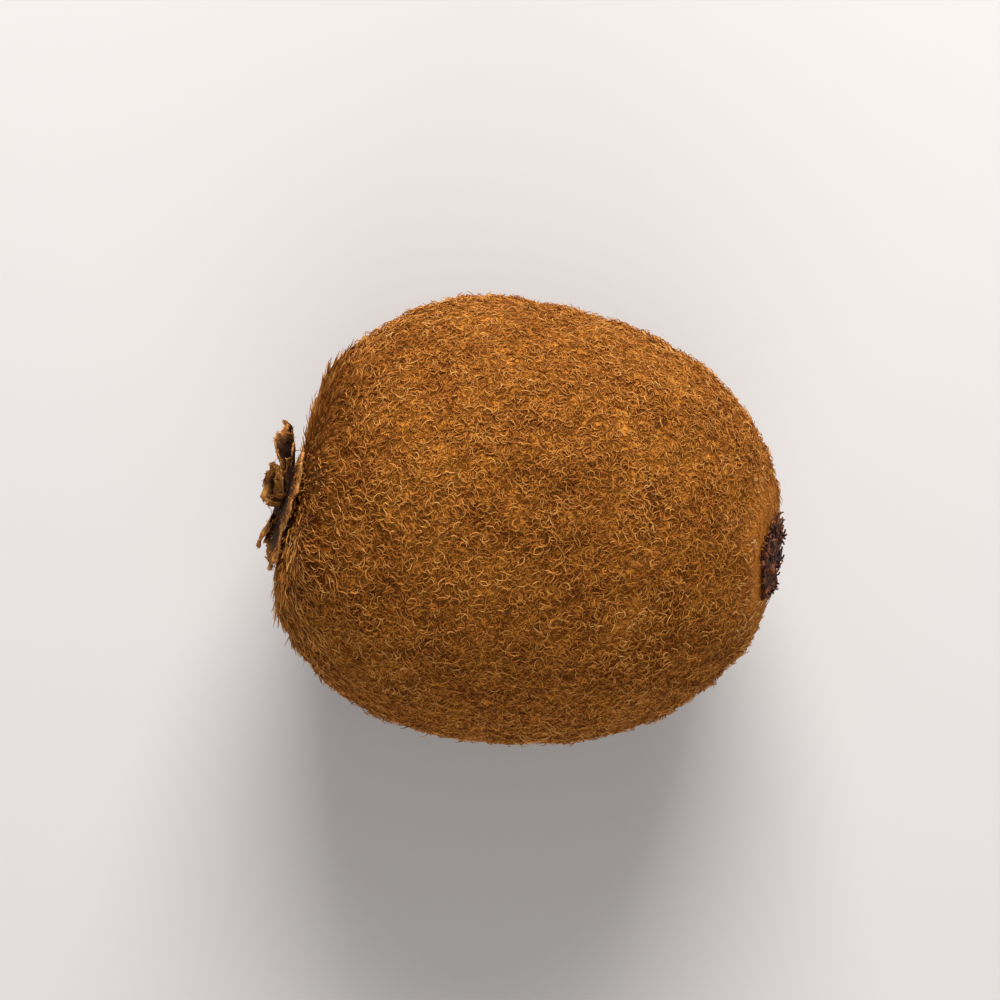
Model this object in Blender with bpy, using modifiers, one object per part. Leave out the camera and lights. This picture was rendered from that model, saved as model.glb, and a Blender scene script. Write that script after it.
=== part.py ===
# A whole kiwi fruit, lying on its side.
# +X runs from the stem end to the blossom end and +Z is up. The fruit rests on a
# small flat at z = 0, and the origin is under the middle of its length and width.
import math

import bmesh
import bpy
from mathutils import Matrix, Vector, noise
from mathutils.geometry import normal

MM = 0.001

# Size and form of the skin
LENGTH = 68.4 * MM           # stem end to blossom end, before the ends are hollowed
STEM_SIDE = 30.3 * MM        # stem end to the widest place
WIDTH = 59.6 * MM            # across, parallel to the table
THICKNESS = 54.6 * MM        # up from the table, the fruit's flatter way
STEM_FULLNESS = 2.12         # exponent of the outline; 2 would be an ellipse
BLOSSOM_FULLNESS = 2.14
STEM_LEAN = 0.10             # slope of the stem end's face across the fruit
STEM_RISE = 1.6 * MM         # the axis curves up towards both ends by this much
BLOSSOM_RISE = 3.4 * MM
CELLS = 30                   # squares along each side of the sphere's six patches

# Flattening of the ends, which hold the dried parts
STEM_HOLLOW_DEPTH = 2.9 * MM
STEM_HOLLOW_RADIUS = 16.5 * MM
BLOSSOM_HOLLOW_DEPTH = 1.1 * MM
BLOSSOM_HOLLOW_RADIUS = 9.0 * MM

# Relief of the skin
LUMP_HEIGHT = 0.45 * MM
LUMP_SIZE = 19.0 * MM
NAP_HEIGHT = 0.34 * MM       # matted fuzz, drawn coarser than the hairs are
NAP_SIZE = 3.5 * MM
PUCKER_HEIGHT = 0.45 * MM    # creases that run out from the calyx
PUCKER_COUNT = 11
REST_DEPTH = 0.7 * MM        # how far the resting flat is cut in
CALYX_REACH = 12.5 * MM      # the skin is plain this far out, under the dried parts
REMNANT_REACH = 6.5 * MM

# Calyx
SEPALS = (                   # direction in degrees from +Y to +Z, length, curl
    (24, 1.04, 1.6),
    (88, 1.36, -0.2),
    (150, 1.22, 0.9),
    (218, 1.02, 0.9),
    (302, 1.06, 0.8),
)
SEPAL_LENGTH = 8.3 * MM
SEPAL_ROOT = 1.2 * MM        # from the fruit's axis to where a blade begins
SEPAL_HALF_WIDTH = 5.4 * MM
SEPAL_THICKNESS = 0.8 * MM
SEPAL_OVERLAP = 0.6 * MM     # each sepal's edge lies this far above its middle
SEPAL_RIPPLE = 0.35 * MM
SEPAL_CURL = 0.9 * MM        # how far the tip and the edges lift off the fruit
SEPAL_ROWS = 12
SEPAL_COLUMNS = 10
SEPAL_DROP = 0.5 * MM        # the sepals spread further to the -Y side
SCAR_RADIUS = 2.9 * MM
SCAR_HEIGHT = 3.4 * MM
SCAR_TIP = 0.36              # slope of the scar's face, which looks up a little
SCAR_RAISE = 1.1 * MM        # of its foot, so that the foot's top edge clears the skin

# Blossom remnant
CAP_RADIUS = 5.0 * MM
CAP_THICKNESS = 1.0 * MM
CAP_SEGMENTS = 40
CAP_RINGS = 10
STYLE_COUNT = 21
STYLE_LENGTH = 1.1 * MM
STYLE_RADIUS = 0.38 * MM
STYLE_FOOT = 0.6             # part of the cap's thickness below a style's foot
BLOSSOM_RAISE = 1.8 * MM     # the remnant sits above the middle of the fruit's end

GAP = 0.35 * MM              # between the skin and the dried parts
WELD = 0.02 * MM             # closer points of a fused solid become one
FLAT = 0.999                 # cosine between faces that count as one flat face

BLOSSOM_SIDE = LENGTH - STEM_SIDE
HALF_WIDTH = WIDTH / 2
HALF_THICKNESS = THICKNESS / 2
MIDDLE = (BLOSSOM_SIDE - STEM_SIDE) / 2


def smooth_step(value, low, high):
    t = min(max((value - low) / (high - low), 0), 1)
    return t * t * (3 - 2 * t)


def material(name, colour, roughness):
    made = bpy.data.materials.new(name)
    made.use_nodes = True
    shader = made.node_tree.nodes["Principled BSDF"]
    shader.inputs["Base Color"].default_value = (*colour, 1)
    shader.inputs["Roughness"].default_value = roughness
    shader.inputs["Metallic"].default_value = 0
    return made


def hollow(side, y, z):
    """How far the end's face is sunk here, round the middle of its dried part."""
    depth = STEM_HOLLOW_DEPTH if side < 0 else BLOSSOM_HOLLOW_DEPTH
    radius = STEM_HOLLOW_RADIUS if side < 0 else BLOSSOM_HOLLOW_RADIUS
    up = z if side < 0 else z - BLOSSOM_RAISE
    return depth * max(1 - (y * y + up * up) / radius ** 2, 0) ** 1.2


def end_face(side, y, z):
    """X of the skin's end, at the stem (side -1) or at the blossom (side 1)."""
    reach = STEM_SIDE if side < 0 else BLOSSOM_SIDE
    fullness = STEM_FULLNESS if side < 0 else BLOSSOM_FULLNESS
    off_axis = math.hypot(y / HALF_WIDTH, z / HALF_THICKNESS)
    along = (1 - off_axis ** fullness) ** (1 / fullness)
    x = side * (reach * along - hollow(side, y, z))
    if side < 0:
        x += STEM_LEAN * y * along ** 2
    return x - MIDDLE


def plain_skin(direction):
    """Point of the smooth form in this direction from the widest place's centre."""
    x, y, z = direction
    side = -1 if x < 0 else 1
    reach = STEM_SIDE if x < 0 else BLOSSOM_SIDE
    fullness = STEM_FULLNESS if x < 0 else BLOSSOM_FULLNESS
    off_axis = math.hypot(y / HALF_WIDTH, z / HALF_THICKNESS)
    radius = ((abs(x) / reach) ** fullness + off_axis ** fullness) ** (-1 / fullness)
    point = direction * radius
    along = abs(point.x) / reach
    point.x -= side * hollow(side, point.y, point.z) * smooth_step(along, 0.5, 0.8)
    if side < 0:
        point.x += STEM_LEAN * point.y * along ** 2
    return point


def bend(point):
    """Curves the fruit up towards both ends, which tips their faces up a little."""
    run = point.x + MIDDLE
    reach = STEM_SIDE if run < 0 else BLOSSOM_SIDE
    rise = STEM_RISE if run < 0 else BLOSSOM_RISE
    slope = math.atan(2 * rise * run / reach ** 2)
    return Vector((
        point.x - math.sin(slope) * point.z,
        point.y,
        rise * (run / reach) ** 2 + math.cos(slope) * point.z,
    ))


def puckers(point, along):
    """Uneven creases round the calyx, strongest just outside it."""
    out = math.hypot(point.y, point.z)
    near = smooth_step(out, 8.5 * MM, 12 * MM) * (1 - smooth_step(out, 15 * MM, 25 * MM))
    if point.x > 0 or near == 0:
        return 0
    angle = math.atan2(point.z, point.y)
    fold = math.sin(PUCKER_COUNT * angle + 1.9 * math.sin(2 * angle + 0.6))
    fold += 0.3 * math.sin((PUCKER_COUNT + 6) * angle + 1.1 * math.sin(3 * angle))
    return PUCKER_HEIGHT * near * fold * smooth_step(along, 0.35, 0.75)


def relief(point):
    """Lumps and matted fuzz, which fade out under the dried parts and the flat."""
    side = -1 if point.x < 0 else 1
    along = abs(point.x) / (STEM_SIDE if side < 0 else BLOSSOM_SIDE)
    out = math.hypot(point.y, point.z if side < 0 else point.z - BLOSSOM_RAISE)
    reach = CALYX_REACH if side < 0 else REMNANT_REACH
    clear = max(smooth_step(out, reach, reach + 5 * MM), 1 - smooth_step(along, 0.6, 0.8))
    lumps = LUMP_HEIGHT * 2 * noise.noise(point / LUMP_SIZE + Vector((3.1, 0.4, 7.7)))
    wander = 0.5 * noise.noise_vector(point / (2 * NAP_SIZE))
    ridge = 1 - 4 * abs(noise.noise(point / NAP_SIZE + wander))
    return clear * (lumps + NAP_HEIGHT * ridge + puckers(point, along))


def quad_sphere(bm):
    """Sphere of even squares, made by blowing up a subdivided cube."""
    bmesh.ops.create_cube(bm, size=2)
    bmesh.ops.subdivide_edges(bm, edges=bm.edges[:], cuts=CELLS - 1, use_grid_fill=True)
    for vert in bm.verts:
        vert.co = Vector(math.tan(c * math.pi / 4) for c in vert.co).normalized()


def add_fruit(parts):
    bm = bmesh.new()
    quad_sphere(bm)
    floor = -HALF_THICKNESS + REST_DEPTH
    for vert in bm.verts:
        direction = vert.co.copy()
        point = plain_skin(direction)
        raised = relief(point)
        point.x -= MIDDLE
        point = bend(point)
        resting = smooth_step(point.z, floor - 0.5 * MM, floor + 2.5 * MM)
        point += direction * raised * resting
        point.z = max(point.z, floor)
        vert.co = point
    mesh = bpy.data.meshes.new("kiwi_fruit")
    bm.to_mesh(mesh)
    bm.free()
    mesh.shade_smooth()
    mesh.materials.append(material("brown_skin", (0.23, 0.105, 0.030), 0.75))
    fruit = bpy.data.objects.new("kiwi_fruit", mesh)
    parts.objects.link(fruit)
    return fruit


def solid_copy(source, name, finish):
    """Mesh object with the source's modifiers and place worked in."""
    depsgraph = bpy.context.evaluated_depsgraph_get()
    mesh = bpy.data.meshes.new_from_object(source.evaluated_get(depsgraph))
    mesh.name = name
    mesh.transform(source.matrix_world)
    mesh.materials.clear()
    mesh.materials.append(finish)
    mesh.shade_smooth()
    return bpy.data.objects.new(name, mesh)


def turn_diagonal(bm, edge):
    """Turns one of the flat pairs of triangles that share this edge with another pair."""
    for face in edge.link_faces:
        loop = next(corner for corner in face.loops if corner.edge == edge)
        first, second, apex = loop.vert, loop.link_loop_next.vert, loop.link_loop_prev.vert
        for other in edge.link_faces:
            if other == face or face.normal.dot(other.normal) < FLAT:
                continue
            far = next(vert for vert in other.verts if vert not in edge.verts)
            corners = ((apex, first, far), (far, second, apex))
            normals = [normal([vert.co for vert in three]) for three in corners]
            if bm.edges.get((apex, far)) or min(face.normal.dot(n) for n in normals) < FLAT:
                continue
            bm.faces.remove(face)
            bm.faces.remove(other)
            for three in corners:
                bm.faces.new(three)
            return


def clean_triangles(mesh):
    """Welds the union's closest points and cuts it into triangles, two to each edge."""
    bm = bmesh.new()
    bm.from_mesh(mesh)
    bmesh.ops.remove_doubles(bm, verts=bm.verts[:], dist=WELD)
    bmesh.ops.dissolve_degenerate(bm, edges=bm.edges[:], dist=WELD / 2)
    bmesh.ops.triangulate(bm, faces=bm.faces[:])
    for edge in [edge for edge in bm.edges if len(edge.link_faces) > 2]:
        turn_diagonal(bm, edge)
    bm.to_mesh(mesh)
    bm.free()


def fuse(base, pieces, name, finish, parts):
    """Joins the pieces to the base and leaves one object in their place."""
    joint = base.modifiers.new("fuse", "BOOLEAN")
    joint.operation = "UNION"
    joint.operand_type = "COLLECTION"
    joint.collection = pieces
    joint.solver = "EXACT"
    bpy.context.view_layer.update()
    made = solid_copy(base, name, finish)
    clean_triangles(made.data)
    parts.objects.link(made)
    for used in [base, *pieces.objects]:
        bpy.data.objects.remove(used)
    return made


def add_scar(outline, place, aim, parts):
    """Ring of the stalk scar, turned from its outline and facing out of the fruit."""
    mesh = bpy.data.meshes.new("scar")
    edges = [(i, i + 1) for i in range(len(outline) - 1)]
    mesh.from_pydata([(radius, 0, height) for radius, height in outline], edges, [])
    scar = bpy.data.objects.new("scar", mesh)
    turn = scar.modifiers.new("turn", "SCREW")
    turn.steps = turn.render_steps = 26
    turn.use_merge_vertices = True
    turn.merge_threshold = 0.00001
    scar.location = place
    scar.rotation_euler = aim.to_track_quat("Z", "Y").to_euler()
    parts.objects.link(scar)
    return scar


def add_sepal(index, sepals):
    """One dried sepal: a blade that runs out from the scar, crumpled and curled."""
    turn, stretch, curl = SEPALS[index]
    turn = math.radians(turn)
    outward = Vector((0, math.cos(turn), math.sin(turn)))
    across = Vector((0, -math.sin(turn), math.cos(turn)))
    bm = bmesh.new()
    bmesh.ops.create_grid(bm, x_segments=SEPAL_ROWS, y_segments=SEPAL_COLUMNS, size=1)
    bmesh.ops.solidify(bm, geom=bm.faces[:], thickness=1)
    for vert in bm.verts:
        t, w = (vert.co.x + 1) / 2, vert.co.y
        layer = SEPAL_THICKNESS if abs(vert.co.z) > 0.5 else 0
        torn = 1 + t ** 3 * (0.03 * math.sin(6 * w + 2.1 * index) - 0.05 * w * w)
        width = SEPAL_HALF_WIDTH * math.sin(math.pi * (0.16 + 0.72 * t)) ** 0.7
        place = outward * (SEPAL_ROOT + SEPAL_LENGTH * stretch * t * torn)
        place += across * width * w * (1 + 0.07 * math.sin(9 * t + 1.7 * index))
        place.y -= SEPAL_DROP
        ripple = SEPAL_RIPPLE * t * (1 + math.sin(4.4 * w + 5 * t + 1.3 * index))
        stand = GAP + layer + ripple + SEPAL_OVERLAP * (1 + w)
        stand += curl * SEPAL_CURL * (t ** 3 + t * abs(w) ** 3)
        vert.co = place
        vert.co.x = end_face(-1, place.y, place.z) - stand
    if bm.calc_volume(signed=True) < 0:
        bmesh.ops.reverse_faces(bm, faces=bm.faces[:])
    mesh = bpy.data.meshes.new("sepal")
    bm.to_mesh(mesh)
    bm.free()
    sepals.objects.link(bpy.data.objects.new("sepal", mesh))


def add_calyx(parts):
    """Five dried sepals round the raised ring where the fruit stalk broke off."""
    outline = [
        (0, SCAR_HEIGHT - 1.5 * MM),
        (0.45 * SCAR_RADIUS, SCAR_HEIGHT - 1.2 * MM),
        (0.60 * SCAR_RADIUS, SCAR_HEIGHT - 0.1 * MM),
        (0.80 * SCAR_RADIUS, SCAR_HEIGHT),
        (0.98 * SCAR_RADIUS, SCAR_HEIGHT - 0.5 * MM),
        (0.92 * SCAR_RADIUS, 0.5 * SCAR_HEIGHT),
        (SCAR_RADIUS, 0.5 * MM),
        (0.95 * SCAR_RADIUS, 0),
        (0, 0),
    ]
    place = Vector((end_face(-1, 0, 0) - GAP - SCAR_RAISE, 0, 0))
    scar = add_scar(outline, place, Vector((-1, STEM_LEAN, SCAR_TIP)), parts)
    sepals = bpy.data.collections.new("sepals")
    for index in range(len(SEPALS)):
        add_sepal(index, sepals)
    bpy.context.scene.collection.children.link(sepals)
    finish = material("dried_sepal", (0.20, 0.10, 0.038), 0.85)
    made = fuse(scar, sepals, "calyx", finish, parts)
    bpy.data.collections.remove(sepals)
    return made


def add_style(index, styles):
    """One withered style: a short stub that leans outward."""
    ring = index % 3
    turn = 2 * math.pi * index / STYLE_COUNT + 0.4 * math.sin(1.9 * index)
    out = CAP_RADIUS * (0.16 + 0.27 * ring)
    length = STYLE_LENGTH * (0.8 + 0.2 * math.sin(3.7 * index))
    bm = bmesh.new()
    bmesh.ops.create_cone(
        bm, cap_ends=True, segments=6, radius1=1.3 * STYLE_RADIUS,
        radius2=0.75 * STYLE_RADIUS, depth=length,
    )
    mesh = bpy.data.meshes.new("style")
    bm.to_mesh(mesh)
    bm.free()
    style = bpy.data.objects.new("style", mesh)
    lean = 0.6 + 0.5 * ring
    aim = Vector((1, lean * math.cos(turn), lean * math.sin(turn)))
    y, z = out * math.cos(turn), out * math.sin(turn) + BLOSSOM_RAISE
    rise = GAP + STYLE_FOOT * CAP_THICKNESS + 0.5 * length / aim.length
    style.rotation_euler = aim.to_track_quat("Z", "Y").to_euler()
    style.location = (end_face(1, y, z) + rise, y, z)
    styles.objects.link(style)


def add_cap(parts):
    """Low cap with a ragged rim and radial folds, lying along the end's face."""
    bm = bmesh.new()
    bmesh.ops.create_uvsphere(bm, u_segments=CAP_SEGMENTS, v_segments=CAP_RINGS, radius=1)
    for vert in bm.verts:
        turn = math.atan2(vert.co.y, vert.co.x)
        out = min(math.hypot(vert.co.x, vert.co.y), 1)
        ragged = 1 + 0.07 * math.sin(5 * turn + 0.7) + 0.05 * math.sin(12 * turn)
        radius = CAP_RADIUS * ragged * out
        y, z = radius * math.cos(turn), radius * math.sin(turn) + BLOSSOM_RAISE
        fold = 1 + 0.45 * out * math.sin(9 * turn + 2 * math.sin(2 * turn))
        top = CAP_THICKNESS * (0.5 + 0.5 * max(vert.co.z, 0) * fold)
        height = GAP + (top if vert.co.z > 0 else CAP_THICKNESS * 0.5 * (1 + vert.co.z))
        vert.co = Vector((end_face(1, y, z) + height, y, z))
    mesh = bpy.data.meshes.new("cap")
    bm.to_mesh(mesh)
    bm.free()
    cap = bpy.data.objects.new("cap", mesh)
    parts.objects.link(cap)
    return cap


def add_blossom_remnant(parts):
    """Low dark cap with the stubs of the withered styles."""
    styles = bpy.data.collections.new("styles")
    for index in range(STYLE_COUNT):
        add_style(index, styles)
    bpy.context.scene.collection.children.link(styles)
    finish = material("withered_styles", (0.055, 0.020, 0.009), 0.7)
    made = fuse(add_cap(parts), styles, "blossom_remnant", finish, parts)
    bpy.data.collections.remove(styles)
    return made


def main():
    for old in list(bpy.data.objects):
        bpy.data.objects.remove(old)
    parts = bpy.data.collections.new("kiwi")
    bpy.context.scene.collection.children.link(parts)
    fruit, calyx, remnant = add_fruit(parts), add_calyx(parts), add_blossom_remnant(parts)
    for dried in (calyx, remnant):
        for vert in dried.data.vertices:
            vert.co = bend(vert.co)
    lift = HALF_THICKNESS - REST_DEPTH
    for piece in (fruit, calyx, remnant):
        piece.data.transform(Matrix.Translation((0, 0, lift)))


main()
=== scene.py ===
import math
import random
from functools import partial

import bmesh
import bpy
from mathutils import Matrix, Vector, noise
from mathutils.bvhtree import BVHTree


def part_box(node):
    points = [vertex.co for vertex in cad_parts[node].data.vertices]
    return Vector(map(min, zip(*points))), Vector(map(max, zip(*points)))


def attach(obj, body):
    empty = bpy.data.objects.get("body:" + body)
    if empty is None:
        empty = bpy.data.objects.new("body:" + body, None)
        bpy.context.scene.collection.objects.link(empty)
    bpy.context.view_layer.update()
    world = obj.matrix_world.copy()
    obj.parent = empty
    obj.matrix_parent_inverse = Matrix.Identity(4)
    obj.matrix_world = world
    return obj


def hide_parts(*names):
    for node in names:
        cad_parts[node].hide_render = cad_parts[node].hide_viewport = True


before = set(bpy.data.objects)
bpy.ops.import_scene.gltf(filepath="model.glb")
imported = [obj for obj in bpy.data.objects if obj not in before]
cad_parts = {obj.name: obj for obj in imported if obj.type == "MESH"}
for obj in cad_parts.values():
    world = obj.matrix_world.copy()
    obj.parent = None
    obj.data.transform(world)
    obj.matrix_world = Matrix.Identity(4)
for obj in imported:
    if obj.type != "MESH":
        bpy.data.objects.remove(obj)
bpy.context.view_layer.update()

mm = 0.001
fruitLow, fruitHigh = (Vector(corner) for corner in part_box("kiwi_fruit"))
fruitMiddle = Vector((0, 0, fruitHigh.z / 2))

# The two ends of the fruit, whose faces tip up a little: a point 3 mm inside the skin, the
# way out of it and the way up along the face. Going away from that point, the skin is bare
# up to the first of coverMm and has all its hairs from the second. They are combed up to the
# first of combMm and curl freely from the second, and near the end they are that much longer
# and paler.
stemEnd = {
    "middle": Vector((-28.0, 0, 27.6)) * mm, "out": Vector((-0.99, 0.10, 0.095)).normalized(),
    "up": Vector((0.095, 0, 0.995)).normalized(), "coverMm": (6.5, 8.5), "combMm": (17, 26),
    "longer": 0.35, "paler": 0.06,
}
blossomEnd = {
    "middle": Vector((30.0, 0, 31.1)) * mm, "out": Vector((0.985, 0, 0.171)).normalized(),
    "up": Vector((-0.171, 0, 0.985)).normalized(), "coverMm": (5.4, 13.0), "combMm": (8, 18),
    "longer": -0.35, "paler": 0.15,
}
print("frame loaded", [round(v * 1000, 1) for v in fruitHigh - fruitLow])


def toLinear(hexColour):
    parts = [int(hexColour[i:i + 2], 16) / 255 for i in (1, 3, 5)]
    return [p / 12.92 if p <= 0.04045 else ((p + 0.055) / 1.055) ** 2.4 for p in parts] + [1]


# Adds a node and gives back one of its outputs. Values and links go to its sockets in
# order, or by name where the keyword has a capital, and other keywords are its settings.
def addNode(tree, kind, *inOrder, out=0, stops=(), **named):
    node = tree.nodes.new(kind)
    sockets = {i: value for i, value in enumerate(inOrder) if value is not None}
    for key, value in named.items():
        if key[0].isupper():
            sockets[key] = value
        else:
            setattr(node, key, value)
    for key, value in sockets.items():
        if isinstance(value, bpy.types.NodeSocket):
            tree.links.new(value, node.inputs[key])
        else:
            node.inputs[key].default_value = value
    for i, (place, colour) in enumerate(stops):
        if i > 1:
            node.color_ramp.elements.new(1.0)
        node.color_ramp.elements[i].position = place
        node.color_ramp.elements[i].color = toLinear(colour)
    return node.outputs[out] if len(node.outputs) else node


# A material, its Principled shader, and a partial that adds nodes to it
def newMaterial(name, roughness, specular):
    material = bpy.data.materials.new(name)
    material.use_nodes = True
    shader = material.node_tree.nodes["Principled BSDF"]
    shader.inputs["Roughness"].default_value = roughness
    shader.inputs["Specular IOR Level"].default_value = specular
    return material, shader, partial(addNode, material.node_tree)


def feed(shader, colour, bump=None):
    shader.id_data.links.new(colour, shader.inputs["Base Color"])
    if bump:
        shader.id_data.links.new(bump, shader.inputs["Normal"])


# Kiwi skin: a thin corky rind, matted with its finest hairs. The eye sees dark brown gaps
# between thin pale curved lines, and a smoother, redder patch round the blossom end. The
# lines are drawn coarser than those hairs, so that they show.
skinLook = {
    "shades": [(0.0, "#451f06"), (0.45, "#76430f"), (1.0, "#b07028")],
    "linesMm": (1.0, 0.6), "lineEdge": (0.01, 0.07), "lineTone": 0.6, "bumpMm": 0.15,
    "patchMm": 8.0, "patchTone": 1.1, "gapTone": -0.42,
    "rust": "#d07c2a", "rustMm": (12.0, 5.0), "rustShare": 0.8,
}


def makeSkinMaterial():
    look = skinLook
    material, shader, add = newMaterial("corkyBrownRind", 0.85, 0.06)
    place = add("ShaderNodeTexCoord", out="Object")
    lines = []
    for size in look["linesMm"]:
        level = add("ShaderNodeTexNoise", place, Scale=1 / (size * mm), Detail=1.0, Distortion=0.8)
        level = add("ShaderNodeMath", level, 0.5, operation="SUBTRACT")
        level = add("ShaderNodeMath", level, operation="ABSOLUTE")
        lines.append(add("ShaderNodeMapRange", level, *look["lineEdge"], 1.0, 0.0))
    matted = add("ShaderNodeMath", *lines, operation="MAXIMUM")
    patch = add("ShaderNodeTexNoise", place, Scale=1 / (look["patchMm"] * mm), Detail=3.0)
    tone = add("ShaderNodeMath", matted, look["lineTone"], look["gapTone"], operation="MULTIPLY_ADD")
    tone = add("ShaderNodeMath", patch, look["patchTone"], tone, operation="MULTIPLY_ADD")
    colour = add("ShaderNodeValToRGB", tone, stops=look["shades"])
    away = add("ShaderNodeVectorMath", place, tuple(blossomEnd["middle"]), out=1, operation="DISTANCE")
    faint, full = look["rustMm"]
    rust = add("ShaderNodeMapRange", away, faint * mm, full * mm, 0.0, look["rustShare"])
    # A mixer's two colours are its seventh and eighth sockets
    colour = add("ShaderNodeMix", rust, None, None, None, None, None, colour, toLinear(look["rust"]),
                 out=2, data_type="RGBA")
    feed(shader, colour, add("ShaderNodeBump", Height=matted, Distance=look["bumpMm"] * mm))
    return material


# Kiwi fuzz: dry stiff plant hair, golden brown, with painted shade that darkens it towards
# the root, down by the skin. Its map holds the hair's own shade across, and the way from root to tip
# upwards.
fuzzLook = {
    "shades": [(0.0, "#6a380e"), (0.3, "#90531a"), (0.6, "#ae702e"), (0.85, "#c28b48"), (1.0, "#cfa66e")],
    "rootPaintedShade": 0.42, "rootPart": 0.55,
}


def makeFuzzMaterial():
    look = fuzzLook
    material, shader, add = newMaterial("dryPlantHair", 0.6, 0.08)
    place = add("ShaderNodeUVMap", uv_map="OFBake")
    split = add("ShaderNodeSeparateXYZ", place).node.outputs
    shade = add("ShaderNodeValToRGB", split["X"], stops=look["shades"])
    # Painted shade: each hair darkens from part way up down to its root
    paintedRootShade = add("ShaderNodeMapRange", split["Y"], 0.0, look["rootPart"], look["rootPaintedShade"], 1.0)
    feed(shader, add("ShaderNodeMix", 1.0, None, None, None, None, None, shade, paintedRootShade,
                     out=2, data_type="RGBA", blend_type="MULTIPLY"))
    return material


# Dried sepal: withered leaf tissue, shrunk and crumpled as it dried. The eye sees felted
# ochre along the edges and dark brown elsewhere, with painted shade, near black, on the backs
# and in the scar's hollow and foot.
sepalLook = {
    "shades": [(0.26, "#1e0e07"), (0.44, "#432814"), (0.60, "#7a4e25"), (0.82, "#b37e41")],
    "grainMm": 1.6, "fineMm": 0.3, "fineShare": 0.4, "bumpMm": 0.2, "edgeTone": 0.45, "baseTone": -0.20,
}


def makeSepalMaterial():
    look = sepalLook
    material, shader, add = newMaterial("witheredSepal", 0.9, 0.06)
    place = add("ShaderNodeTexCoord", out="Object")
    # Pale felt along the edges; painted shade on the backs and in the scar's hollow and foot
    edge = add("ShaderNodeAttribute", out="Fac", attribute_name="edge")
    coarse = add("ShaderNodeTexNoise", place, Scale=1 / (look["grainMm"] * mm), Detail=4.0)
    fine = add("ShaderNodeTexNoise", place, Scale=1 / (look["fineMm"] * mm), Detail=2.0)
    grain = add("ShaderNodeMix", look["fineShare"], None, coarse, fine)
    tone = add("ShaderNodeMath", edge, look["edgeTone"], look["baseTone"], operation="MULTIPLY_ADD")
    tone = add("ShaderNodeMath", grain, tone, operation="ADD")
    feed(shader, add("ShaderNodeValToRGB", tone, stops=look["shades"]),
         add("ShaderNodeBump", Height=grain, Distance=look["bumpMm"] * mm))
    return material


# Withered styles: the dried stalks of the flower, dark red brown with a faint gloss
styleLook = {
    "shades": [(0.38, "#210d06"), (0.53, "#45200e"), (0.68, "#8a4a20")],
    "grainMm": 1.0, "bumpMm": 0.15,
}


def makeStyleMaterial():
    look = styleLook
    material, shader, add = newMaterial("witheredStyle", 0.55, 0.2)
    place = add("ShaderNodeTexCoord", out="Object")
    grain = add("ShaderNodeTexNoise", place, Scale=1 / (look["grainMm"] * mm), Detail=4.0)
    feed(shader, add("ShaderNodeValToRGB", grain, stops=look["shades"]),
         add("ShaderNodeBump", Height=grain, Distance=look["bumpMm"] * mm))
    return material


def newPiece(name, bm):
    mesh = bpy.data.meshes.new(name)
    bm.to_mesh(mesh)
    bm.free()
    mesh.shade_smooth()
    piece = bpy.data.objects.new(name, mesh)
    bpy.context.scene.collection.objects.link(piece)
    return piece


# One closed mesh from a node of the frame, whose own mesh is loose triangles
def mergedCopy(node, name):
    bm = bmesh.new()
    bm.from_mesh(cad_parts[node].data)
    bmesh.ops.remove_doubles(bm, verts=bm.verts, dist=0.001 * mm)
    piece = newPiece(name, bm)
    piece.data.materials.clear()
    return piece


# A new piece of just those faces of another that its test picks, for hairs to grow on
def facesOf(piece, name, picks):
    bm = bmesh.new()
    bm.from_mesh(piece.data)
    bmesh.ops.delete(bm, geom=[face for face in bm.faces if not picks(face)], context="FACES")
    return newPiece(name, bm)


# An empty Geometry Nodes tree with named inputs, and a partial that adds nodes to it
def newTree(name, inputs):
    tree = bpy.data.node_groups.new(name, "GeometryNodeTree")
    tree.interface.new_socket("Geometry", in_out="INPUT", socket_type="NodeSocketGeometry")
    for label, kind in inputs.items():
        tree.interface.new_socket(label, in_out="INPUT", socket_type="NodeSocket" + kind)
    tree.interface.new_socket("Geometry", in_out="OUTPUT", socket_type="NodeSocketGeometry")
    return tree, tree.nodes.new("NodeGroupInput").outputs, partial(addNode, tree)


# Runs a tree on a piece with these values and leaves a plain mesh
def runTree(piece, tree, values):
    modifier = piece.modifiers.new(tree.name, "NODES")
    modifier.node_group = tree
    for item in tree.interface.items_tree:
        if item.in_out == "INPUT" and item.name in values:
            modifier[item.identifier] = values[item.name]
    bpy.context.view_layer.update()
    depsgraph = bpy.context.evaluated_depsgraph_get()
    made = bpy.data.meshes.new_from_object(piece.evaluated_get(depsgraph))
    piece.modifiers.remove(modifier)
    piece.data = made
    made.shade_smooth()
    made.calc_loop_triangles()
    print(piece.name, len(made.loop_triangles), "triangles")
    return piece


# Refines a solid's surface: rounds its facets off and adds fine uneven relief
def makeReliefTree():
    tree, given, add = newTree("fineRelief", {
        "Level": "Int", "Relief mm": "Float", "Grain mm": "Float", "Material": "Material"})
    fine = add("GeometryNodeSubdivisionSurface", given["Geometry"], given["Level"])
    place = add("GeometryNodeInputPosition")
    grain = add("ShaderNodeMath", given["Grain mm"], mm, operation="MULTIPLY")
    scale = add("ShaderNodeMath", 1.0, grain, operation="DIVIDE")
    bumps = add("ShaderNodeTexNoise", place, Scale=scale, Detail=3.0, normalize=False)
    height = add("ShaderNodeMath", bumps, given["Relief mm"], operation="MULTIPLY")
    height = add("ShaderNodeMath", height, mm, operation="MULTIPLY")
    normal = add("GeometryNodeInputNormal")
    push = add("ShaderNodeVectorMath", normal, Scale=height, operation="SCALE")
    moved = add("GeometryNodeSetPosition", fine, Offset=push)
    real = add("GeometryNodeRealizeInstances", moved)
    done = add("GeometryNodeSetMaterial", real, Material=given["Material"])
    add("NodeGroupOutput", done)
    return tree


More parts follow.
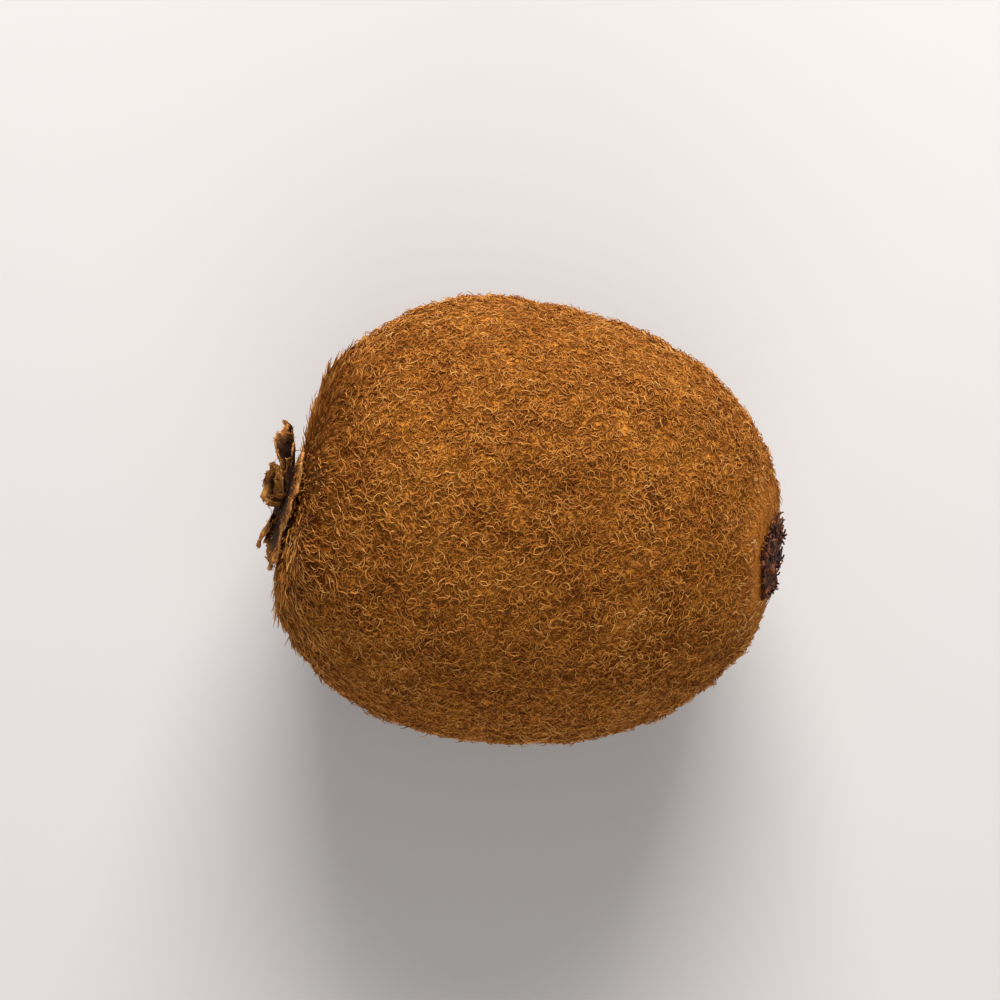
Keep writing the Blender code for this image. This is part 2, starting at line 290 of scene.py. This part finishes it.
# What all hairs share: how much curl combing takes out, how each rises and then droops,
# how deep it is rooted, how it kinks, how wide the patches of shade are, and how high over
# the table it stays where the fruit lies on it
growth = {
    "straighten": 0.86, "rise": 1.35, "droop": 0.55, "rootMm": 0.06, "kinkMm": 0.25,
    "kinkSizeMm": 0.9, "patchMm": 6.0, "tableMm": 0.08,
}


# Grows hairs on a surface. Each one starts just inside it, leans over and curls as an
# arc. Near the fruit's ends they are straighter and combed away from the stem.
def makeHairTree():
    tree, given, add = newTree("hairs", {
        "Hairs per cm2": "Float", "Seed": "Int", "Points": "Int", "Sides": "Int",
        "Short mm": "Float", "Long mm": "Float", "Thick mm": "Float", "Tip": "Float",
        "Least curl": "Float", "Most curl": "Float", "Low lift": "Float", "High lift": "Float",
        "Heading": "Float", "Spread": "Float", "Comb": "Float", "Bare": "Float",
        "Shade": "Float", "Contrast": "Float", "Material": "Material"})
    maths, vectors, pick = "ShaderNodeMath", "ShaderNodeVectorMath", "FunctionNodeRandomValue"

    # How near each root is to one of the fruit's ends
    place = add("GeometryNodeInputPosition")
    nearness, cover = [], []
    for end in (stemEnd, blossomEnd):
        away = add(vectors, place, tuple(end["middle"]), out=1, operation="DISTANCE")
        combed, wild = end["combMm"]
        near = add("ShaderNodeMapRange", away, combed * mm, wild * mm, 1.0, 0.0,
                   interpolation_type="SMOOTHSTEP")
        nearness.append(add(maths, near, given["Comb"], operation="MULTIPLY"))
        bare, grown = end["coverMm"]
        covered = add("ShaderNodeMapRange", away, bare * mm, grown * mm, 1.0, 0.0)
        cover.append(add(maths, covered, given["Bare"], operation="MULTIPLY"))
    nearEnd = add(maths, *nearness, operation="MAXIMUM")
    free = add(maths, 1.0, add(maths, *cover, operation="MAXIMUM"), operation="SUBTRACT")

    perSquareMetre = add(maths, given["Hairs per cm2"], 10000.0, operation="MULTIPLY")
    density = add(maths, perSquareMetre, free, operation="MULTIPLY")
    roots = add("GeometryNodeDistributePointsOnFaces", given["Geometry"],
                Density=density, Seed=given["Seed"])
    normal = roots.node.outputs["Normal"]

    # What each hair draws by chance, a seed apart
    drawn = {}
    ranges = {
        "length": (given["Short mm"], given["Long mm"]), "curl": (given["Least curl"], given["Most curl"]),
        "side": (-1.0, 1.0), "lift": (0.0, 1.0), "turn": (-1.0, 1.0), "shade": (-0.5, 0.5),
    }
    for step, (label, (low, high)) in enumerate(ranges.items()):
        seed = add(maths, given["Seed"], step + 1.0, operation="ADD")
        drawn[label] = add(pick, None, None, low, high, Seed=seed, out=1, data_type="FLOAT")
    length = add(maths, drawn["length"], mm, operation="MULTIPLY")
    for near, end in zip(nearness, (stemEnd, blossomEnd)):
        longer = add(maths, near, end["longer"], 1.0, operation="MULTIPLY_ADD")
        length = add(maths, length, longer, operation="MULTIPLY")
    wildness = add(maths, nearEnd, -growth["straighten"], 1.0, operation="MULTIPLY_ADD")
    side = add(maths, drawn["side"], operation="SIGN")
    curl = add(maths, drawn["curl"], side, operation="MULTIPLY")
    curl = add(maths, curl, wildness, operation="MULTIPLY")
    lift = add(maths, drawn["lift"], 2.0, operation="POWER")
    lift = add("ShaderNodeMapRange", lift, 0.0, 1.0, given["Low lift"], given["High lift"])
    turn = add(maths, drawn["turn"], given["Spread"], operation="MULTIPLY")
    turn = add(maths, turn, wildness, operation="MULTIPLY")
    turn = add(maths, turn, given["Heading"], operation="ADD")
    patch = add("ShaderNodeTexNoise", place, Scale=1 / (growth["patchMm"] * mm), Detail=2.0)
    patch = add(maths, patch, 0.5, operation="SUBTRACT")
    shade = add(maths, drawn["shade"], patch, operation="ADD")
    shade = add(maths, shade, given["Contrast"], given["Shade"], operation="MULTIPLY_ADD")
    for near, end in zip(nearness, (stemEnd, blossomEnd)):
        shade = add(maths, near, end["paler"], shade, operation="MULTIPLY_ADD")
    shade = add("ShaderNodeClamp", shade, 0.02, 0.95)

    keep = tree.nodes.new("GeometryNodeCaptureAttribute")
    tree.links.new(roots, keep.inputs["Geometry"])
    kept = {}
    carried = {"place": place, "up": normal, "length": length, "curl": curl, "lift": lift,
               "turn": turn, "shade": shade}
    for label, value in carried.items():
        keep.capture_items.new("VECTOR" if label in ("place", "up") else "FLOAT", label)
        tree.links.new(value, keep.inputs[label])
        kept[label] = keep.outputs[label]

    line = add("GeometryNodeCurvePrimitiveLine", None, (0, 0, mm))
    line = add("GeometryNodeResampleCurve", line, Count=given["Points"])
    hairs = add("GeometryNodeInstanceOnPoints", keep.outputs["Geometry"], Instance=line)
    hairs = add("GeometryNodeRealizeInstances", hairs)

    # The arc, laid out from the stem end to the blossom end, across that and out of the surface
    t = add("GeometryNodeSplineParameter")
    up = kept["up"]
    fromStem = add(vectors, kept["place"], tuple(stemEnd["middle"]), operation="SUBTRACT")
    toBlossom = add(vectors, tuple(blossomEnd["middle"]), kept["place"], operation="SUBTRACT")
    ahead = add(vectors, add(vectors, fromStem, operation="NORMALIZE"),
                add(vectors, toBlossom, operation="NORMALIZE"), operation="ADD")
    lean = add(vectors, ahead, up, out=1, operation="DOT_PRODUCT")
    ahead = add(vectors, ahead, add(vectors, up, Scale=lean, operation="SCALE"), operation="SUBTRACT")
    ahead = add(vectors, ahead, operation="NORMALIZE")
    aside = add(vectors, up, ahead, operation="CROSS_PRODUCT")
    angle = add(maths, kept["curl"], t, kept["turn"], operation="MULTIPLY_ADD")
    radius = add(maths, kept["length"], kept["curl"], operation="DIVIDE")
    sines = [add(maths, way, operation="SINE") for way in (angle, kept["turn"])]
    cosines = [add(maths, way, operation="COSINE") for way in (kept["turn"], angle)]
    go = add(maths, add(maths, *sines, operation="SUBTRACT"), radius, operation="MULTIPLY")
    stray = add(maths, add(maths, *cosines, operation="SUBTRACT"), radius, operation="MULTIPLY")
    rise = add(maths, t, -growth["droop"], growth["rise"], operation="MULTIPLY_ADD")
    for factor in (t, kept["lift"], kept["length"]):
        rise = add(maths, rise, factor, operation="MULTIPLY")
    rise = add(maths, rise, growth["rootMm"] * mm, operation="SUBTRACT")
    shape = kept["place"]
    for direction, distance in ((ahead, go), (aside, stray), (up, rise)):
        step = add(vectors, direction, Scale=distance, operation="SCALE")
        shape = add(vectors, shape, step, operation="ADD")
    kink = add("ShaderNodeTexNoise", shape, Scale=1 / (growth["kinkSizeMm"] * mm), out="Color",
               normalize=False)
    kink = add(vectors, kink, Scale=add(maths, t, growth["kinkMm"] * mm, operation="MULTIPLY"),
               operation="SCALE")
    shape = add(vectors, shape, kink, operation="ADD")
    # Pressed flat under the fruit. A limit of -1 m leaves X and Y free.
    shape = add(vectors, shape, (-1, -1, growth["tableMm"] * mm), operation="MAXIMUM")
    hairs = add("GeometryNodeSetPosition", hairs, Position=shape)

    # A thin rod that narrows to its tip, with its shade and its length on its map
    ring = add("GeometryNodeCurvePrimitiveCircle", given["Sides"], Radius=0.5 * mm)
    keepRound = tree.nodes.new("GeometryNodeCaptureAttribute")
    keepRound.capture_items.new("FLOAT", "round")
    tree.links.new(ring, keepRound.inputs["Geometry"])
    tree.links.new(add("GeometryNodeInputIndex"), keepRound.inputs["round"])
    keepAlong = tree.nodes.new("GeometryNodeCaptureAttribute")
    keepAlong.capture_items.new("FLOAT", "along")
    tree.links.new(hairs, keepAlong.inputs["Geometry"])
    tree.links.new(t, keepAlong.inputs["along"])
    narrowing = add(maths, given["Tip"], 1.0, operation="SUBTRACT")
    width = add(maths, t, t, operation="MULTIPLY")
    width = add(maths, width, narrowing, 1.0, operation="MULTIPLY_ADD")
    width = add(maths, width, given["Thick mm"], operation="MULTIPLY")
    rods = add("GeometryNodeCurveToMesh", keepAlong.outputs["Geometry"], keepRound.outputs["Geometry"],
               width, True)
    across = add(maths, keepRound.outputs["round"], 0.01, kept["shade"], operation="MULTIPLY_ADD")
    spot = add("ShaderNodeCombineXYZ", across, keepAlong.outputs["along"])
    mapped = add("GeometryNodeStoreNamedAttribute", rods, Name="OFBake", Value=spot,
                 data_type="FLOAT2", domain="CORNER")
    real = add("GeometryNodeRealizeInstances", mapped)
    done = add("GeometryNodeSetMaterial", real, Material=given["Material"])
    add("NodeGroupOutput", done)
    return tree


def dress(piece, replaced=None):
    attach(piece, "root")
    if replaced:
        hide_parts(replaced)


reliefTree = makeReliefTree()
hairTree = makeHairTree()
skin = runTree(mergedCopy("kiwi_fruit", "skin"), reliefTree, {
    "Level": 1, "Relief mm": 0.10, "Grain mm": 1.3, "Material": makeSkinMaterial()})
dress(skin, "kiwi_fruit")

# The coat, in layers that differ in length, curl and shade. Its hairs are drawn about three
# times as thick as real ones, so that they show.
coat = {
    "Points": 4, "Sides": 3, "Tip": 0.4, "Heading": 0.0, "Spread": math.pi, "Comb": 1.0,
    "Bare": 1.0, "Contrast": 0.57,
}
fuzzLayers = {
    "fuzzShort": {"Hairs per cm2": 80.0, "Seed": 11, "Short mm": 0.8, "Long mm": 1.4,
                  "Thick mm": 0.18, "Least curl": 0.8, "Most curl": 2.4, "Low lift": 0.1,
                  "High lift": 0.45, "Shade": 0.42},
    "fuzzLow": {"Hairs per cm2": 80.0, "Seed": 23, "Short mm": 1.2, "Long mm": 1.9,
                "Thick mm": 0.19, "Least curl": 1.2, "Most curl": 3.2, "Low lift": 0.08,
                "High lift": 0.35, "Shade": 0.38},
    "fuzzCurly": {"Hairs per cm2": 60.0, "Seed": 37, "Points": 5, "Short mm": 1.2, "Long mm": 2.2,
                  "Thick mm": 0.18, "Least curl": 1.8, "Most curl": 4.4, "Low lift": 0.12,
                  "High lift": 0.45, "Shade": 0.46},
    "fuzzHooked": {"Hairs per cm2": 80.0, "Seed": 41, "Short mm": 1.0, "Long mm": 1.8,
                   "Thick mm": 0.17, "Least curl": 0.8, "Most curl": 3.0, "Low lift": 0.2,
                   "High lift": 0.65, "Shade": 0.50},
}
fuzzMaterial = makeFuzzMaterial()
for name, values in fuzzLayers.items():
    layer = runTree(mergedCopy("kiwi_fruit", name), hairTree, {**coat, **values, "Material": fuzzMaterial})
    dress(layer)

skinTree = BVHTree.FromPolygons([vert.co for vert in skin.data.vertices],
                                [face.vertices for face in skin.data.polygons])


# Point at a height above the skin of an end, across the face from its middle and up. The
# skin is found by looking in from 15 mm out.
def overEnd(end, acrossMm, upMm, heightMm):
    start = end["middle"] + Vector((0, acrossMm, 0)) * mm + end["up"] * upMm * mm + end["out"] * 15 * mm
    return skinTree.ray_cast(start, -end["out"])[0] + end["out"] * heightMm * mm


# Joins rings of points, from the middle of the front to the middle of the back
def joinRings(bm, rings, segments, turned=False):
    for inner, outer in zip(rings, rings[1:]):
        for k in range(segments):
            n = (k + 1) % segments
            corners = [inner[k % len(inner)], inner[n % len(inner)]]
            corners += [outer[n % len(outer)], outer[k % len(outer)]]
            corners = list(dict.fromkeys(corners))  # a ring of one point gives triangles
            bm.faces.new(corners[::-1] if turned else corners)


# The calyx: five sepals round the stalk's scar, and shreds that tore off them
sepals = {
    # turn from the far side upwards in degrees, stretch, how loose and how curled each one
    # is, and how many mm its tip stands off
    "blades": ((24, 0.98, 1.1, 0.6, 1.3), (88, 1.26, 0.4, 0.0, 0.0), (150, 1.22, 0.6, 0.2, 0.0),
               (218, 1.02, 1.0, 0.6, 0.0), (302, 1.06, 1.0, 0.6, 0.0)),
    "lengthMm": 8.3, "rootMm": 1.2, "halfWidthMm": 5.4, "thickMm": 0.5, "gapMm": 0.35,
    "overlapMm": 0.45, "rippleMm": 0.35, "curlMm": 0.75, "crumpleMm": 0.6, "dropMm": 0.5,
    "rows": 24, "columns": 18,
}
shreds = {"count": 13, "lengthMm": (2.5, 4.8), "halfWidthMm": (0.35, 0.8), "liftMm": (0.8, 2.4),
          "rootMm": (2.4, 5.0), "thickMm": 0.28, "rows": 12, "columns": 3, "seed": 5}
scar = {
    "radiusMm": 2.95, "ragMm": 0.4, "segments": 40, "tip": 0.26, "footMm": 0.6,
    # parts of the radius, heights over its foot in mm, and how pale it is there, pale and felted
    # on the raised rim and dark with painted shade in the hollow and on the foot, from the middle outwards
    "outline": [(0.0, 0.5, -0.6), (0.5, 0.6, -0.6), (0.70, 1.2, -0.6), (0.76, 2.8, 0.75),
                (0.86, 3.2, 0.75), (0.99, 2.8, 0.75), (0.92, 1.8, 0.75), (0.98, 0.7, -0.6),
                (1.05, 0.0, -0.6), (0.9, -0.6, -0.6), (0.0, -0.6, -0.6)],
}
sheetEdge = {"thinner": 0.4, "paintedShadeBack": 0.4}  # of the thickness, and painted shade on the back, taken off its paleness


# Adds a thin closed sheet. Its shape gives a place over the stem end in mm for t, from
# root to tip, and w, from one edge to the other, and how near it is to its edge.
def addSheet(bm, shape, look):
    edgeLayer = bm.verts.layers.float["edge"]
    rows, columns = look["rows"], look["columns"]
    sides = []
    for face in (1, 0):
        grid = []
        for i in range(rows + 1):
            grid.append([])
            for j in range(columns + 1):
                across, up, stand, edge = shape(i / rows, 2 * j / columns - 1)
                thick = look["thickMm"] * (1 - sheetEdge["thinner"] * edge) * face
                vert = bm.verts.new(overEnd(stemEnd, across, up, stand + thick))
                # The back faces the skin and is set darker: painted shade
                vert[edgeLayer] = edge if face else edge - sheetEdge["paintedShadeBack"]
                grid[-1].append(vert)
        sides.append(grid)
    front, back = sides
    for i in range(rows):
        for j in range(columns):
            for grid, order in ((front, 1), (back, -1)):
                bm.faces.new((grid[i][j], grid[i][j + 1], grid[i + 1][j + 1], grid[i + 1][j])[::order])
    rim = [(i, 0) for i in range(rows)] + [(rows, j) for j in range(columns)]
    rim += [(i, columns) for i in range(rows, 0, -1)] + [(0, j) for j in range(columns, 0, -1)]
    for (i, j), (m, n) in zip(rim, rim[1:] + rim[:1]):
        bm.faces.new((front[i][j], front[m][n], back[m][n], back[i][j]))


# A broad blade, lying over its neighbour on one side
def sepalShape(index, t, w):
    look = sepals
    turn, stretch, loose, curl, lift = look["blades"][index]
    turn = math.radians(turn)

    # Ragged at the tip, narrow at both ends and wavy along the sides
    rag = noise.noise(Vector((3 * w, index * 5.0, 0.3)))
    torn = 1 + t ** 3 * (0.03 * math.sin(6 * w + 2.1 * index) - 0.05 * w * w + 0.10 * rag)
    out = look["rootMm"] + look["lengthMm"] * stretch * t * torn
    wide = look["halfWidthMm"] * math.sin(math.pi * (0.16 + 0.72 * t)) ** 0.7
    wide *= w * (1 + 0.07 * math.sin(9 * t + 1.7 * index) + 0.10 * noise.noise(Vector((7 * t, w, index))))
    across = out * math.cos(turn) - wide * math.sin(turn) - look["dropMm"]
    up = out * math.sin(turn) + wide * math.cos(turn)
    edge = max(t ** 4, abs(w) ** 4)

    # Rippled and crumpled, with its tip and edges curled up
    crumple = noise.noise(Vector((across * 0.55, up * 0.55, index * 9.0)))
    crumple += 0.5 * noise.noise(Vector((across * 1.5, up * 1.5, index)))
    stand = look["overlapMm"] * (1 + w)
    stand += look["rippleMm"] * t * (1 + math.sin(4.4 * w + 5 * t + 1.3 * index))
    stand += look["crumpleMm"] * t * (0.6 + crumple)
    stand = loose * stand + curl * look["curlMm"] * (t ** 3 + t * abs(w) ** 3) + lift * t
    return across, up, look["gapMm"] + max(stand, 0), edge


# A strip that narrows, bends and stands off more towards its tip
def shredShape(strip, t, w):
    out = strip["root"] + strip["length"] * t
    wide = strip["half"] * w * (1 - 0.75 * t ** 2) * (1 + 0.3 * math.sin(8 * t + strip["phase"]))
    turn = strip["turn"] + strip["bend"] * t
    across = out * math.cos(turn) - wide * math.sin(turn) - sepals["dropMm"]
    up = out * math.sin(turn) + wide * math.cos(turn)
    stand = 1.0 + strip["lift"] * (0.35 + t * (1 - 0.3 * t)) + 0.3 * w * math.sin(5 * t + strip["phase"])
    return across, up, stand, 0.35 + 0.5 * t


# The ring that the stalk left. It tips up, so the hollow in it is seen from above.
def addScar(bm):
    edgeLayer = bm.verts.layers.float["edge"]
    out = (stemEnd["out"] + stemEnd["up"] * scar["tip"]).normalized()
    up = (stemEnd["up"] - stemEnd["out"] * scar["tip"]).normalized()
    foot = overEnd(stemEnd, 0, 0, scar["footMm"])
    rings = []
    for radius, height, feltAndShade in scar["outline"]:
        ring = []
        for k in range(scar["segments"] if radius else 1):
            turn = 2 * math.pi * k / scar["segments"]
            way = Vector((math.cos(turn), math.sin(turn), 0.4 * height))
            rag = noise.noise(way * 2.2) * scar["ragMm"]
            far = radius * scar["radiusMm"] + rag * radius
            place = foot + (Vector((0, math.cos(turn), 0)) + up * math.sin(turn)) * far * mm
            vert = bm.verts.new(place + out * (height + 1.5 * rag) * mm)
            # Pale on the rim; painted shade darkens the hollow and the foot
            vert[edgeLayer] = feltAndShade
            ring.append(vert)
        rings.append(ring)
    joinRings(bm, rings, scar["segments"])


def makeCalyx():
    bm = bmesh.new()
    bm.verts.layers.float.new("edge")
    for index in range(len(sepals["blades"])):
        addSheet(bm, partial(sepalShape, index), sepals)
    draw = random.Random(shreds["seed"])
    for index in range(shreds["count"]):
        strip = {
            "turn": 2 * math.pi * (index + draw.uniform(-0.4, 0.4)) / shreds["count"],
            "length": draw.uniform(*shreds["lengthMm"]), "half": draw.uniform(*shreds["halfWidthMm"]),
            "lift": draw.uniform(*shreds["liftMm"]), "root": draw.uniform(*shreds["rootMm"]),
            "bend": draw.uniform(-0.45, 0.45), "phase": index,
        }
        addSheet(bm, partial(shredShape, strip), shreds)
    addScar(bm)
    piece = newPiece("driedCalyx", bm)
    piece.data.materials.append(makeSepalMaterial())
    smooth = piece.modifiers.new("smooth", "SUBSURF")
    smooth.levels = smooth.render_levels = 1
    return piece


# Felt left along the edges of the sepals and on the scar's rim, where they are at least this pale
feltFrom = 0.3
felt = {
    "Hairs per cm2": 420.0, "Seed": 91, "Sides": 3, "Points": 4, "Short mm": 0.3, "Long mm": 0.75,
    "Thick mm": 0.15, "Tip": 0.4, "Least curl": 0.8, "Most curl": 3.0, "Low lift": 0.05,
    "High lift": 0.35, "Heading": 0.0, "Spread": math.pi, "Comb": 0.0, "Bare": 0.0,
    "Shade": 0.40, "Contrast": 0.6,
}


calyx = makeCalyx()
dress(calyx, "calyx")
# How pale each point of the calyx is: felt at the edges and rim, painted shade on the backs and in the
# scar's hollow
calyxFeltAndShade = calyx.data.attributes["edge"].data


def isFelted(face):
    return all(calyxFeltAndShade[vert.index].value > feltFrom for vert in face.verts)


calyxFelt = runTree(facesOf(calyx, "calyxFelt", isFelted), hairTree, {**felt, "Material": fuzzMaterial})
dress(calyxFelt)
print("calyx ready")

# The remains of the flower: a low folded cap, and the withered styles over it
cap = {
    "radiusMm": 5.0, "thickMm": 0.8, "rings": 22, "segments": 96, "foldMm": 0.35, "folds": 11, "gapMm": 0.2,
    "rag": ((5, 0.07, 0.7), (12, 0.05, 0.0), (29, 0.03, 0.0)),  # lobes round its edge, depth, turn
}
styleLayer = {
    "Hairs per cm2": 380.0, "Seed": 71, "Points": 6, "Sides": 5, "Short mm": 0.9, "Long mm": 2.2,
    "Thick mm": 0.34, "Tip": 0.7, "Least curl": 0.8, "Most curl": 3.4, "Low lift": 0.0,
    "High lift": 0.16, "Heading": math.pi, "Spread": 1.6, "Comb": 0.0, "Bare": 0.0,
    "Shade": 0.5, "Contrast": 0.5,
}


def makeCap():
    bm = bmesh.new()
    rings = []
    for i in range(cap["rings"] + 1):
        out, front = math.sin(math.pi * i / cap["rings"]), math.cos(math.pi * i / cap["rings"])
        ring = []
        for k in range(cap["segments"] if 0 < i < cap["rings"] else 1):
            turn = 2 * math.pi * k / cap["segments"]
            ragged = 1
            for lobes, depth, start in cap["rag"]:
                ragged += depth * math.sin(lobes * turn + start)
            radius = cap["radiusMm"] * ragged * out
            across, up = radius * math.cos(turn), radius * math.sin(turn)
            fold = math.sin(cap["folds"] * turn + 2 * math.sin(2 * turn)) * out
            fold += 0.8 * noise.noise(Vector((across, up, 1.7)))
            top = 0.45 * (1 + front) * cap["thickMm"] + cap["foldMm"] * fold * max(front, 0) ** 0.5
            ring.append(bm.verts.new(overEnd(blossomEnd, across, up, cap["gapMm"] + max(top, 0))))
        rings.append(ring)
    joinRings(bm, rings, cap["segments"], turned=True)
    return newPiece("witheredCap", bm)


styleMaterial = makeStyleMaterial()
capPiece = makeCap()
capPiece.data.materials.append(styleMaterial)
capFront = facesOf(capPiece, "witheredStyles", lambda face: face.normal.dot(blossomEnd["out"]) > 0.3)
styles = runTree(capFront, hairTree, {**styleLayer, "Material": styleMaterial})
dress(capPiece, "blossom_remnant")
dress(styles)
print("blossom remnant ready")

# A wide table top of painted board, which isn't part of the fruit: pale, even and matt. It
# lies a little lower than the fruit's flat, so that the two don't share a face.
floorLook = {"colour": "#b6b2b0", "size": 3.0, "drop": 0.05 * mm}


def makeFloor():
    bm = bmesh.new()
    bmesh.ops.create_grid(bm, x_segments=1, y_segments=1, size=floorLook["size"] / 2,
                          matrix=Matrix.Translation((0, 0, -floorLook["drop"])))
    floor = newPiece("tableTop", bm)
    material, shader, add = newMaterial("mattePaintedBoard", 0.9, 0.2)
    shader.inputs["Base Color"].default_value = toLinear(floorLook["colour"])
    floor.data.materials.append(material)


# Soft boxes: where each stands, its size in metres and its power in watts
lights = {
    "keyBox": {"place": (-0.02, 0.62, 0.38), "size": 0.45, "watts": 12.9},
    "fillBox": {"place": (0.15, -0.20, 0.75), "size": 0.6, "watts": 1.2},
    "lowBox": {"place": (0.08, -0.55, 0.18), "size": 0.5, "watts": 2.5},
}
roomLight = 0.33


def makeLights():
    for name, look in lights.items():
        lamp = bpy.data.lights.new(name, "AREA")
        lamp.shape = "SQUARE"
        lamp.size = look["size"]
        lamp.energy = look["watts"]
        holder = bpy.data.objects.new(name, lamp)
        holder.location = look["place"]
        aim = fruitMiddle - holder.location
        holder.rotation_euler = aim.to_track_quat("-Z", "Y").to_euler()
        bpy.context.scene.collection.objects.link(holder)
    world = bpy.data.worlds.new("paleRoom")
    world.use_nodes = True
    world.node_tree.nodes["Background"].inputs["Color"].default_value = (1, 1, 1, 1)
    world.node_tree.nodes["Background"].inputs["Strength"].default_value = roomLight
    bpy.context.scene.world = world


# The view: straight down, with the fruit's axis turned a little clockwise
view = {
    "distance": 0.45,
    "pixelMm": 0.1348,         # at half the fruit's height, on a picture 1000 pixels wide
    "fruitPixel": (525, 524),  # where the middle of the fruit falls
    "tiltDegrees": 7.7,
}


def makeCamera():
    pixel = view["pixelMm"] * mm
    tilt = math.radians(view["tiltDegrees"])
    right = Vector((math.cos(tilt), math.sin(tilt), 0))
    up = Vector((-math.sin(tilt), math.cos(tilt), 0))
    centre = fruitMiddle + right * (500 - view["fruitPixel"][0]) * pixel
    centre += up * (view["fruitPixel"][1] - 500) * pixel
    lens = bpy.data.cameras.new("camera")
    lens.sensor_width = 36
    lens.lens = 36 * view["distance"] / (1000 * pixel)
    camera = bpy.data.objects.new("camera", lens)
    turned = Matrix((right, up, Vector((0, 0, 1)))).transposed().to_4x4()
    turned.translation = centre + Vector((0, 0, view["distance"]))
    camera.matrix_world = turned
    bpy.context.scene.collection.objects.link(camera)
    bpy.context.scene.camera = camera


makeFloor()
makeLights()
makeCamera()
bpy.context.scene.view_settings.view_transform = "Standard"
print("floor, lights and camera ready")
